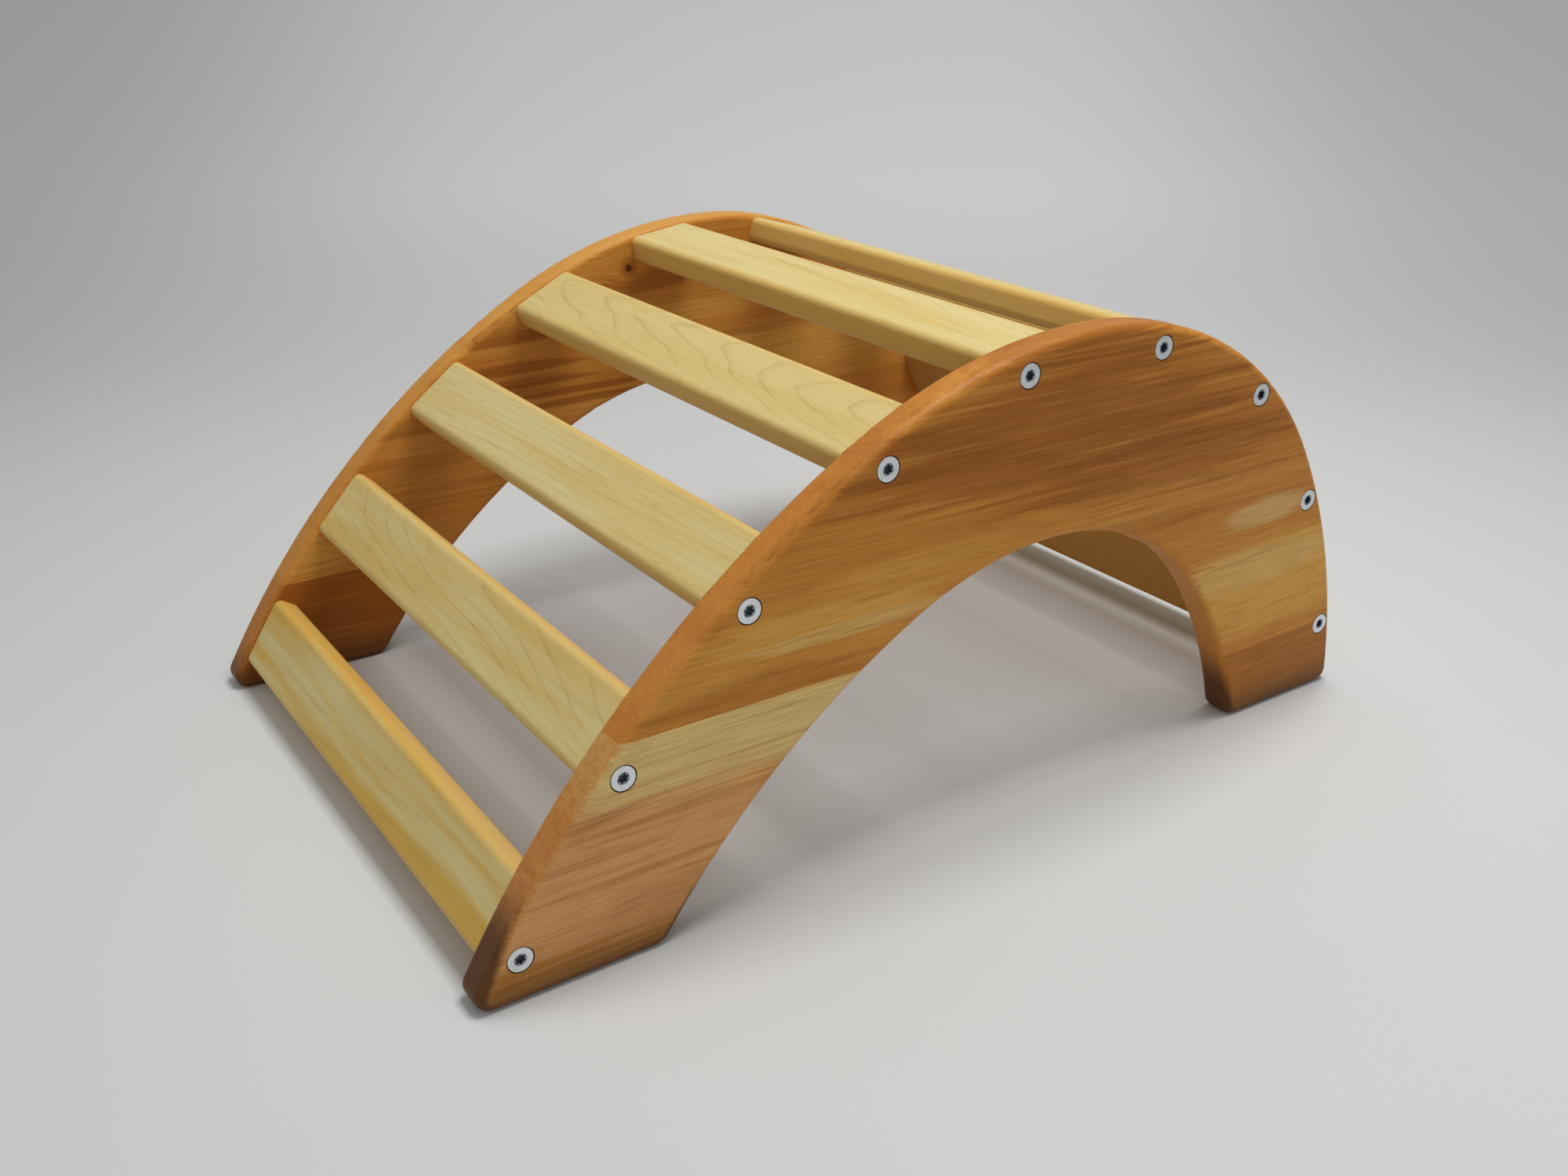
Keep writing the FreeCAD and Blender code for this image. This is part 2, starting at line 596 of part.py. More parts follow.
def make_dowel():
    """A dowel on the Y axis, across the joint between the near panel and a slat."""
    cylinder = doc.addObject("Part::Cylinder", "dowel_blank")
    cylinder.setExpression("Radius", "Dimensions.dowel_diameter / 2")
    cylinder.setExpression("Height", "Dimensions.dowel_length")
    doc.recompute()
    dowel = doc.addObject("Part::Chamfer", "near_dowel")
    dowel.Base = cylinder
    bevel = SIZE["dowel_end_bevel"]
    dowel.Edges = [(i, bevel, bevel) for i, edge in enumerate(cylinder.Shape.Edges, start=1)
                   if edge.Closed and edge.Curve.TypeId == "Part::GeomCircle"]
    dowel.Placement = ALONG_Y
    dowel.setExpression("Placement.Base.y",
                        "-Dimensions.bench_width / 2 + Dimensions.panel_thickness"
                        " - Dimensions.dowel_panel_depth")
    doc.recompute()
    return dowel


def mirror_across(source, name):
    """The same piece on the far side."""
    mirror = doc.addObject("Part::Mirroring", name)
    mirror.Source = source
    mirror.Normal = Vector(0, 1, 0)
    doc.recompute()
    return mirror


def gather(name, pieces, point=ORIGIN, turn=0.0):
    """Like pieces as one sub-part of separate solids, moved to the point and turned about Y."""
    group = doc.addObject("Part::Compound", name)
    group.Links = pieces
    group.Label = name
    group.Placement = Placement(point, Rotation(Vector(0, 1, 0), turn))
    return group


def check(parts):
    """Stop when any feature failed or any sub-part is not its number of valid solids."""
    failed = [o.Label for o in doc.Objects if {"Invalid", "Error"} & set(o.State)]
    if failed:
        raise RuntimeError(f"failed features: {failed}")
    for part in parts:
        expected = len(part.Links) if part.TypeId == "Part::Compound" else 1
        if not part.Shape.isValid() or len(part.Shape.Solids) != expected:
            raise RuntimeError(f"bad shape: {part.Label}")


def main():
    make_sheet()
    parts = []
    near_panel = bore_panel(make_panel())
    far_panel = mirror_across(near_panel, "far_panel")
    for side_name, side, panel in (("near", -1, near_panel), ("far", 1, far_panel)):
        joint = f"{side_name}_joint_height"
        parts += [
            make_board(panel, f"{side_name}_crown_board", joint, side, top=True, front=False),
            make_board(panel, f"{side_name}_front_leg_board", joint, side, top=False, front=True),
            make_board(panel, f"{side_name}_rear_leg_board", joint, side, top=False, front=False),
        ]
    screw = make_screw()
    screws = [screw, mirror_across(screw, "far_screw")]
    dowel = make_dowel()
    dowels = [dowel, mirror_across(dowel, "far_dowel")]
    for number in range(1, SLAT_COUNT + 1):
        parts.append(make_slat(number))
        parts.append(gather(f"slat_{number}_screws", screws, fixing_place(number, -1),
                               number * SCREW_TURN))
        parts.append(gather(f"slat_{number}_dowels", dowels, fixing_place(number, 1)))
    doc.recompute()
    check(parts)
    os.makedirs("parts", exist_ok=True)
    for part in parts:
        part.Shape.exportStep(f"parts/{part.Label}.step")
    whole = Part.makeCompound([part.Shape for part in parts]).optimalBoundingBox()
    print(f"{len(parts)} nodes, {sum(len(p.Shape.Solids) for p in parts)} solids, "
          f"{whole.XLength:.1f} x {whole.YLength:.1f} x {whole.ZLength:.1f} mm")


main()
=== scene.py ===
"""Looks of the backbend bench: finishes for its boards, slats, dowels and screws, and its stage."""
import math

import bmesh
import bpy
from mathutils import Matrix, Vector


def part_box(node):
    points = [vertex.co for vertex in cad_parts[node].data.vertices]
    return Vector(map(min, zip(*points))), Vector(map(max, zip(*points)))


bl_info = {
    "name": "Backbend Bench",
    "version": (1, 0, 0),
    "blender": (4, 5, 0),
    "location": "3D View > Sidebar > Bench",
    "description": "Wood and steel finishes, floor, light and camera for an arched wooden bench",
    "category": "Object",
}

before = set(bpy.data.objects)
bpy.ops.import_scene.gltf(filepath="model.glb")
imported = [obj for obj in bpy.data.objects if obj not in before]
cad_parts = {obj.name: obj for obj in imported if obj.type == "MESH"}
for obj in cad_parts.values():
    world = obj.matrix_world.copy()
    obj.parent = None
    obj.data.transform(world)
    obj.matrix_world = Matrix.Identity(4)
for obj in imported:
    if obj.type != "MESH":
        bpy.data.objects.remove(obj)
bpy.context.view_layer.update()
MM = 0.001

# How long a lump of each pattern is, along the grain, across it and through the board, in mm
ALDER_BANDS = (420, 34, 40)
ALDER_STRANDS = (60, 1.6, 4)
# Real fibres are a hundredth of a millimetre: 0.9 mm is as fine as the picture can hold
ALDER_FIBRES = (28, 0.9, 1.2)
ALDER_FLECKS = (9, 0.7, 1)
# Pores of the end grain, drawn 2 mm wide so that they show
ALDER_PORES = (4, 2, 6)
BIRCH_CLOUDS = (260, 20, 24)
BIRCH_STRANDS = (70, 5, 7)
# Finer in life, drawn 0.7 mm wide so that they show
BIRCH_FIBRES = (40, 0.7, 0.8)
BIRCH_FLECKS = (11, 0.7, 0.9)
BEECH_RAYS = (3, 0.5, 0.5)
BEECH_FIBRES = (12, 0.4, 0.4)
RING_STRAY = (200, 40, 40)
# From lump to lump of the plating's grain and of its clouds, in mm
PLATING_GRAIN = 0.6
PLATING_CLOUD = 5

# Where a stain or painted shade starts and where it is full: from a screw's axis, the painted shade in
# the seat round its head and in the mouth of its socket; from a slat's middle, its rounded edges and
# its underside, which takes painted shade and bounce light; from the floor, the darkened foot, partly
# painted shade
SEAT_RING = (8.4 * MM, 8.1 * MM)
SOCKET_MOUTH = (3.9 * MM, 3.5 * MM)
SLAT_EDGE = (17 * MM, 27 * MM)
SLAT_UNDERSIDE = (-8.5 * MM, -10 * MM)
FOOT_HEIGHT = (40 * MM, 2 * MM)


def linear(hex_colour):
    """An sRGB hex colour as linear red, green and blue."""
    values = [int(hex_colour[i:i + 2], 16) / 255 for i in (1, 3, 5)]
    return [v / 12.92 if v <= 0.04045 else ((v + 0.055) / 1.055) ** 2.4 for v in values]


def colour_property(name, description, hex_colour):
    """A colour setting with a hex default."""
    return bpy.props.FloatVectorProperty(name=name, description=description, subtype="COLOR",
                                         size=3, min=0, max=1, default=linear(hex_colour))


def length_property(name, description, millimetres):
    """A length setting; the default is in millimetres."""
    return bpy.props.FloatProperty(name=name, description=description, subtype="DISTANCE",
                                   unit="LENGTH", min=0, default=millimetres * MM)


class PanelWood(bpy.types.PropertyGroup):
    """Alder side panels."""

    heart: colour_property("Heartwood", "Orange-brown ground colour of the boards", "#c68132")
    gold: colour_property("Golden streaks", "Light streaks and bands along the grain", "#dda64e")
    sap: colour_property("Sapwood", "Pale bands beside the glue joints", "#dfc27e")
    tan: colour_property("Tan zones", "Reddish tan zones between heartwood and sapwood", "#d8a068")
    streak: colour_property("Dark streaks", "Dark streaks and zones along the grain", "#935016")
    end_grain: colour_property("End grain", "Where the outline cuts across the fibres", "#bd7a35")
    knot: colour_property("Knot", "Heart of the small knot", "#43240f")
    # Painted shade near the floor, with finish gathered in the end grain; also painted shade in the
    # seats round the screw heads
    foot: colour_property("Foot", "Finish gathered in the end grain at the feet", "#4e2f1a")
    ring: length_property("Growth ring", "Distance from ring to ring", 4.5)
    streak_length: length_property("Streak length", "Length of a streak", 190)
    streak_width: length_property("Streak width", "Height of a streak on the board's face", 6)
    roughness: bpy.props.FloatProperty(name="Roughness", description="Satin film", min=0, max=1,
                                       subtype="FACTOR", default=0.42)


class SlatWood(bpy.types.PropertyGroup):
    """Birch cross slats."""

    ground: colour_property("Ground", "Pale yellow between the ring lines", "#d6c589")
    gold: colour_property("Clouds", "Soft golden clouds", "#cfa64c")
    figure: colour_property("Figure", "Ring lines", "#a47f36")
    edge: colour_property("Edges", "Rounded long edges, more golden", "#d9ac55")
    # Painted shade and warm bounce light from the panels
    underside: colour_property("Underside", "Inner faces of the slats", "#bd8236")
    fleck: colour_property("Flecks", "Short brown flecks along the grain", "#8c6128")
    ring: length_property("Growth ring", "Distance from ring to ring", 3.2)
    roughness: bpy.props.FloatProperty(name="Roughness", description="Satin lacquer", min=0,
                                       max=1, subtype="FACTOR", default=0.46)


class DowelWood(bpy.types.PropertyGroup):
    """Beech dowels."""

    ground: colour_property("Ground", "Bare turned beech", "#d8b488")
    ray: colour_property("Rays", "Short brown rays", "#a87b50")


class ScrewSteel(bpy.types.PropertyGroup):
    """Zinc-plated screws."""

    plating: colour_property("Plating", "Bright zinc", "#e2e6e8")
    dull: colour_property("Dull patches", "Where the plating is thin or soiled", "#7d8286")
    socket: colour_property("Socket", "Unlit walls of the six-lobe socket", "#878f97")
    roughness: bpy.props.FloatProperty(name="Roughness", description="Satin plating", min=0, max=1,
                                       subtype="FACTOR", default=0.36)


class StageLook(bpy.types.PropertyGroup):
    """Floor, backdrop, lamps and camera."""

    paper: colour_property("Paper", "Floor", "#d5d6d5")
    backdrop: colour_property("Backdrop", "Paper behind the bench", "#e3e4e3")
    # Painted shade: the paper greys towards its sides
    side_paper_shade: colour_property("Side paper", "Paper towards its sides", "#c3c4c3")
    cloud: colour_property("Clouds", "Trace of cloudiness in the paper", "#bcbcbc")
    lamp_size: length_property("Lamp size", "Side of the soft box", 750)
    lamp_place: bpy.props.FloatVectorProperty(name="Lamp place", description="Where the soft box hangs",
                                              size=3, subtype="TRANSLATION", unit="LENGTH",
                                              default=(0.30, -0.20, 1.9))
    lamp_power: bpy.props.FloatProperty(name="Lamp", description="Overhead soft box", unit="POWER",
                                        min=0, default=22.5)
    room_light: bpy.props.FloatProperty(name="Room light", description="Light from all round",
                                        min=0, default=0.46)
    lens: bpy.props.FloatProperty(name="Lens", description="Focal length", unit="CAMERA", min=10,
                                  default=33.9)
    eye: bpy.props.FloatVectorProperty(name="Eye", description="Where the camera stands", size=3,
                                       subtype="TRANSLATION", unit="LENGTH",
                                       default=(-0.5735, -0.8426, 0.5324))
    aim: bpy.props.FloatVectorProperty(name="Aim", description="Point in the picture's middle",
                                       size=3, subtype="TRANSLATION", unit="LENGTH",
                                       default=(-0.0900, -0.1362, 0.1500))
    roll: bpy.props.FloatProperty(name="Roll", description="Lean of the camera", subtype="ANGLE",
                                  unit="ROTATION", default=math.radians(0.27))


def add_node(tree, kind, settings=None, inputs=None):
    """A node of that kind, with its settings, and its inputs as values or links."""
    node = tree.nodes.new(kind)
    for name, value in (settings or {}).items():
        setattr(node, name, value)
    for name, value in (inputs or {}).items():
        if isinstance(value, bpy.types.NodeSocket):
            tree.links.new(value, node.inputs[name])
        else:
            node.inputs[name].default_value = value
    return node


def new_material(name):
    """An empty material with its output; returns it and its node tree."""
    material = bpy.data.materials.new(name)
    material.use_nodes = True
    material.node_tree.nodes.clear()
    return material, material.node_tree


class Board:
    """How a piece of timber lies: its place, and the ways its grain, width and thickness run."""

    def __init__(self, place, grain, through):
        self.place = Vector(place)
        self.grain = Vector(grain)
        self.through = Vector(through)
        self.across = self.through.cross(self.grain)


# The panels' boards share the bench's own frame, so that a height on one is a height on the bench
PANEL_BOARD = Board((0, 0, 0), (1, 0, 0), (0, -1, 0))


def slat_board(node):
    """A slat: the grain runs across the bench, and the broad face is the mesh's largest flat."""
    low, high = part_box(node)
    broad_face = max(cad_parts[node].data.polygons, key=lambda polygon: polygon.area)
    through = broad_face.normal.copy()
    if through.z < 0:
        through.negate()
    return Board((low + high) / 2, (0, 1, 0), through)


def board_coordinates(tree, board):
    """Metres along the grain, across the board and through it, as three sockets."""
    point = add_node(tree, "ShaderNodeTexCoord").outputs["Object"]
    local = add_node(tree, "ShaderNodeVectorMath", {"operation": "SUBTRACT"},
                     {0: point, 1: board.place}).outputs["Vector"]
    return [add_node(tree, "ShaderNodeVectorMath", {"operation": "DOT_PRODUCT"},
                     {0: local, 1: axis}).outputs["Value"]
            for axis in (board.grain, board.across, board.through)]


def grain_noise(tree, coordinates, lengths, seed, detail=3.0, distortion=0.0):
    """Noise whose lumps have these lengths along, across and through the grain, in mm.

    Patterns of one board take seeds that differ by odd amounts, so that they don't line up.
    """
    stretched = [add_node(tree, "ShaderNodeMath", {"operation": "DIVIDE"},
                          {0: value, 1: length * MM}).outputs[0]
                 for value, length in zip(coordinates, lengths)]
    vector = add_node(tree, "ShaderNodeCombineXYZ", {}, dict(enumerate(stretched))).outputs[0]
    return add_node(tree, "ShaderNodeTexNoise", {"noise_dimensions": "4D"},
                    {"Vector": vector, "W": seed, "Scale": 1.0, "Detail": detail,
                     "Roughness": 0.55, "Distortion": distortion}).outputs["Fac"]


def stain(tree, colour, other, mask, low, high, strength):
    """The colour with the other laid over it, up to the strength as the mask goes low to high.

    Low may lie above high: the stain then grows as the mask falls.
    """
    amount = add_node(tree, "ShaderNodeMapRange", {"interpolation_type": "SMOOTHSTEP"}, {
        "Value": mask, "From Min": low, "From Max": high, "To Max": strength}).outputs[0]
    return add_node(tree, "ShaderNodeMix", {"data_type": "RGBA"},
                    {0: amount, 6: colour, 7: other}).outputs[2]


def lay_patches(tree, colour, other, coordinates, streaks, patches):
    """The colour with patches of the other, whose borders break up along the streaks.

    A patch is its place along and across the board, its half length, its half height, all in mm,
    and its strength.
    """
    for place_along, place_across, half_length, half_height, strength in patches:
        off_along = add_node(tree, "ShaderNodeMath", {"operation": "MULTIPLY_ADD"}, {
            0: coordinates[0], 1: 1 / (half_length * MM), 2: -place_along / half_length}).outputs[0]
        off_across = add_node(tree, "ShaderNodeMath", {"operation": "MULTIPLY_ADD"}, {
            0: coordinates[1], 1: 1 / (half_height * MM), 2: -place_across / half_height}).outputs[0]
        off_middle = add_node(tree, "ShaderNodeCombineXYZ", {},
                              {0: off_along, 1: off_across}).outputs[0]
        distance = add_node(tree, "ShaderNodeVectorMath", {"operation": "LENGTH"},
                            {0: off_middle}).outputs["Value"]
        torn = add_node(tree, "ShaderNodeMath", {"operation": "MULTIPLY_ADD"},
                        {0: streaks, 1: -2.2, 2: distance}).outputs[0]
        colour = stain(tree, colour, other, torn, 0.15, -0.45, strength)
    return colour


def growth_rings(tree, coordinates, ring, pith, taper, wave, seed):
    """Late-wood lines of the rings round a pith that lies off the board's middle, in mm.

    The pith draws nearer along the grain by the taper, which makes the nested arches of a
    flat-sawn face, and the wave is how far the rings stray from true, in mm.
    """
    along, across, through = coordinates
    stray = grain_noise(tree, coordinates, RING_STRAY, seed, 1.5)
    swing = add_node(tree, "ShaderNodeMath", {"operation": "MULTIPLY_ADD"},
                     {0: stray, 1: wave * MM, 2: -wave * MM / 2}).outputs[0]
    rise = add_node(tree, "ShaderNodeMath", {"operation": "MULTIPLY_ADD"},
                    {0: along, 1: taper, 2: swing}).outputs[0]
    height = add_node(tree, "ShaderNodeMath", {}, {0: through, 1: rise}).outputs[0]
    from_pith = add_node(tree, "ShaderNodeCombineXYZ", {}, {
        0: add_node(tree, "ShaderNodeMath", {}, {0: across, 1: pith[0] * MM}).outputs[0],
        1: add_node(tree, "ShaderNodeMath", {}, {0: height, 1: pith[1] * MM}).outputs[0],
    }).outputs[0]
    radius = add_node(tree, "ShaderNodeVectorMath", {"operation": "LENGTH"},
                      {0: from_pith}).outputs["Value"]
    strayed = add_node(tree, "ShaderNodeMath", {}, {0: radius, 1: swing}).outputs[0]
    count = add_node(tree, "ShaderNodeMath", {"operation": "DIVIDE"},
                     {0: strayed, 1: ring}).outputs[0]
    year = add_node(tree, "ShaderNodeMath", {"operation": "FRACT"}, {0: count}).outputs[0]
    # Late wood darkens slowly through the year and stops short where the next ring begins
    return add_node(tree, "ShaderNodeMath", {"operation": "POWER"}, {0: year, 1: 5.0}).outputs[0]


def bend_round_knot(tree, coordinates, knot):
    """The coordinates with the grain bent round a knot, and the distance from the knot's middle.

    The knot is its place along and across the board and its radius, in mm.
    """
    along, across, through = coordinates
    place_along, place_across, radius = (value * MM for value in knot)
    aside = add_node(tree, "ShaderNodeMath", {"operation": "SUBTRACT"},
                     {0: across, 1: place_across}).outputs[0]
    off_knot = add_node(tree, "ShaderNodeCombineXYZ", {}, {
        0: add_node(tree, "ShaderNodeMath", {"operation": "SUBTRACT"},
                    {0: along, 1: place_along}).outputs[0],
        1: aside}).outputs[0]
    distance = add_node(tree, "ShaderNodeVectorMath", {"operation": "LENGTH"},
                        {0: off_knot}).outputs["Value"]
    pull = add_node(tree, "ShaderNodeMapRange", {"interpolation_type": "SMOOTHSTEP"}, {
        "Value": distance, "From Min": 9 * radius, "From Max": 0.0, "To Max": -0.85}).outputs[0]
    bent = add_node(tree, "ShaderNodeMath", {"operation": "MULTIPLY_ADD"},
                    {0: aside, 1: pull, 2: across}).outputs[0]
    return [along, bent, through], distance


def screw_axis(slat):
    """Point on the axis of the screws at the slat's ends."""
    low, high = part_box(f"{slat}_screws")
    return (low + high) / 2


def from_screws(tree, slats):
    """Distance from the nearest of these slats' screws, across the panels' faces, in metres."""
    point = add_node(tree, "ShaderNodeTexCoord").outputs["Object"]
    level = add_node(tree, "ShaderNodeVectorMath", {"operation": "MULTIPLY"},
                     {0: point, 1: (1, 0, 1)}).outputs["Vector"]
    nearest = 1.0
    for slat in slats:
        axis = screw_axis(slat)
        distance = add_node(tree, "ShaderNodeVectorMath", {"operation": "DISTANCE"},
                            {0: level, 1: (axis.x, 0, axis.z)}).outputs["Value"]
        nearest = add_node(tree, "ShaderNodeMath", {"operation": "MINIMUM"},
                           {0: nearest, 1: distance}).outputs[0]
    return nearest


def facing(tree, axis):
    """How squarely the surface faces along that axis, from 0 to 1."""
    normal = add_node(tree, "ShaderNodeNewGeometry").outputs["Normal"]
    dot = add_node(tree, "ShaderNodeVectorMath", {"operation": "DOT_PRODUCT"},
                   {0: normal, 1: axis}).outputs["Value"]
    return add_node(tree, "ShaderNodeMath", {"operation": "ABSOLUTE"}, {0: dot}).outputs[0]


def finish_timber(tree, colour, fibres, contrast, roughness, gloss, depth):
    """Shader of clear-finished timber.

    The fibres shade the colour by the contrast, stand up by the depth, in mm, under the film,
    and shine a little more on their crests.
    """
    shade = add_node(tree, "ShaderNodeMapRange", {}, {
        "Value": fibres, "From Min": 0.25, "From Max": 0.75,
        "To Min": 1 - contrast, "To Max": 1 + contrast}).outputs[0]
    shaded = add_node(tree, "ShaderNodeHueSaturation", {}, {
        "Value": shade, "Color": colour}).outputs[0]
    shine = add_node(tree, "ShaderNodeMapRange", {}, {
        "Value": fibres, "From Min": 0.2, "From Max": 0.8,
        "To Min": roughness + 0.07, "To Max": roughness - 0.05}).outputs[0]
    relief = add_node(tree, "ShaderNodeBump", {}, {
        "Height": fibres, "Strength": 0.35, "Distance": depth * MM}).outputs[0]
    shader = add_node(tree, "ShaderNodeBsdfPrincipled", {}, {
        "Base Color": shaded, "Roughness": shine, "IOR": 1.45, "Specular IOR Level": gloss,
        "Normal": relief}).outputs[0]
    add_node(tree, "ShaderNodeOutputMaterial", {}, {"Surface": shader})


def alder_board(node, wood, looks):
    """Alder board, planed, edge-rounded and clear-lacquered.

    The eye gets warm orange-brown with soft streaks along the grain, a satin film, and darker
    mottled end grain where the arch's outline cuts across the fibres.
    """
    material, tree = new_material(f"lacquered_alder_{node}")
    coordinates = board_coordinates(tree, PANEL_BOARD)
    seed = looks["seed"]
    if "knot" in looks:
        coordinates, knot_distance = bend_round_knot(tree, coordinates, looks["knot"])
    streak_width = wood.streak_width / MM * looks["coarse"]
    streak_size = (wood.streak_length / MM, streak_width, 2 * streak_width)
    streaks = grain_noise(tree, coordinates, streak_size, seed, 6.0, 0.25)
    strands = grain_noise(tree, coordinates, ALDER_STRANDS, seed + 4.1, 2.0)
    bands = grain_noise(tree, coordinates, ALDER_BANDS, seed + 3.1, 3.0, 0.4)
    fibres = grain_noise(tree, coordinates, ALDER_FIBRES, seed + 7.7, 3.0)
    flecks = grain_noise(tree, coordinates, ALDER_FLECKS, seed + 5.5, 1.0)
    rings = growth_rings(tree, coordinates, wood.ring, pith=(-60, 170), taper=0.05, wave=9,
                         seed=seed + 1.3)

    gold, streak = (*wood.gold, 1), (*wood.streak, 1)
    colour = stain(tree, (*wood.heart, 1), gold, bands, 0.42, 0.75, 0.45)
    colour = stain(tree, colour, streak, bands, 0.48, 0.25, 0.30)
    tints = {"gold": gold, "pale": (*wood.sap, 1), "tan": (*wood.tan, 1), "dark": streak}
    for zone, tint in tints.items():
        colour = lay_patches(tree, colour, tint, coordinates, streaks, looks.get(zone, []))
    colour = stain(tree, colour, streak, streaks, 0.50, 0.78, 0.42)
    colour = stain(tree, colour, gold, streaks, 0.46, 0.24, 0.42)
    colour = stain(tree, colour, streak, strands, 0.50, 0.76, 0.32)
    colour = stain(tree, colour, gold, strands, 0.48, 0.24, 0.24)
    colour = stain(tree, colour, streak, rings, 0.0, 1.0, 0.10)
    colour = stain(tree, colour, streak, flecks, 0.64, 0.76, 0.22)
    if "knot" in looks:
        radius = looks["knot"][2] * MM
        colour = stain(tree, colour, streak, knot_distance, 3.5 * radius, radius, 0.7)
        colour = stain(tree, colour, (*wood.knot, 1), knot_distance, 1.2 * radius, 0.6 * radius,
                       0.9)

    end_grain = (*wood.end_grain, 1)
    colour = stain(tree, colour, end_grain, facing(tree, PANEL_BOARD.through), 0.98, 0.35, 0.35)
    pores = grain_noise(tree, coordinates, ALDER_PORES, seed + 9.1, 4.0)
    cut_across = add_node(tree, "ShaderNodeMath", {"operation": "MULTIPLY"}, {
        0: facing(tree, PANEL_BOARD.grain), 1: pores}).outputs[0]
    colour = stain(tree, colour, end_grain, cut_across, 0.05, 0.35, 0.55)
    colour = stain(tree, colour, streak, cut_across, 0.30, 0.60, 0.30)
    # Painted highlight: the edge that faces up is made more golden
    upwards = facing(tree, (0, 0, 1))
    colour = stain(tree, colour, gold, upwards, 0.40, 0.98, looks.get("rim", 0.0))
    # The feet darken towards the floor, most on the end grain: painted shade near the floor, with
    # finish gathered in the end grain. The seats round the screw heads take painted shade in their gap.
    # The foot's border wanders 14 mm with the streaks
    painted_shade_and_finish = (*wood.foot, 1)
    ragged = add_node(tree, "ShaderNodeMath", {"operation": "MULTIPLY_ADD"},
                      {0: streaks, 1: 14 * MM, 2: coordinates[1]}).outputs[0]
    low_edge = add_node(tree, "ShaderNodeMath", {"operation": "MULTIPLY_ADD"}, {
        0: facing(tree, PANEL_BOARD.grain), 1: -looks["toe"] * MM, 2: ragged}).outputs[0]
    colour = stain(tree, colour, painted_shade_and_finish, low_edge, *FOOT_HEIGHT, 0.9)
    low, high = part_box(node)
    slats = [slat for slat in SLATS if low.x < screw_axis(slat).x < high.x]
    # Painted shade in the gap of the seat round each screw head
    colour = stain(tree, colour, painted_shade_and_finish, from_screws(tree, slats), *SEAT_RING, 0.9)
    finish_timber(tree, colour, fibres, contrast=0.15, roughness=wood.roughness, gloss=0.16,
                  depth=0.15)
    return material


def birch_slat(node, wood, looks):
    """Birch slat, planed, edge-rounded and clear-lacquered.

    The eye gets an even pale yellow with thin ring lines, a satin film, golden rounded edges and
    here and there a run of short brown flecks.
    """
    board = slat_board(node)
    material, tree = new_material(f"lacquered_birch_{node}")
    coordinates = board_coordinates(tree, board)
    seed = looks["seed"]
    clouds = grain_noise(tree, coordinates, BIRCH_CLOUDS, seed, 3.0, 0.4)
    strands = grain_noise(tree, coordinates, BIRCH_STRANDS, seed + 4.1, 3.0)
    fibres = grain_noise(tree, coordinates, BIRCH_FIBRES, seed + 7.7, 3.0)
    flecks = grain_noise(tree, coordinates, BIRCH_FLECKS, seed + 5.5, 2.0)
    rings = growth_rings(tree, coordinates, wood.ring, looks["pith"], looks["taper"],
                         looks["wave"], seed + 1.3)

    edge, figure = (*wood.edge, 1), (*wood.figure, 1)
    colour = stain(tree, (*wood.ground, 1), (*wood.gold, 1), clouds, 0.34, 0.68, looks["gold"])
    # The lines come and go along the strands of the grain
    broken_rings = add_node(tree, "ShaderNodeMath", {"operation": "MULTIPLY"},
                            {0: rings, 1: strands}).outputs[0]
    colour = stain(tree, colour, figure, broken_rings, 0.12, 0.50, looks["lines"])
    colour = stain(tree, colour, figure, strands, 0.55, 0.80, 0.22)
    # Towards the long edges the photograph shows the wood more golden
    aside = add_node(tree, "ShaderNodeMath", {"operation": "ABSOLUTE"},
                     {0: coordinates[1]}).outputs[0]
    colour = stain(tree, colour, edge, aside, *SLAT_EDGE, 0.35)
    colour = stain(tree, colour, (*wood.fleck, 1), flecks, 0.66, 0.76, looks["flecks"])
    colour = stain(tree, colour, edge, facing(tree, board.through), 0.99, 0.45, 0.55)
    # Where an underside can be seen in the photograph, it is browner
    # Painted shade and warm bounce light from the panels on the slats' undersides
    colour = stain(tree, colour, (*wood.underside, 1), coordinates[2], *SLAT_UNDERSIDE, 0.8)
    finish_timber(tree, colour, fibres, contrast=0.05, roughness=wood.roughness, gloss=0.12,
                  depth=0.08)
    return material


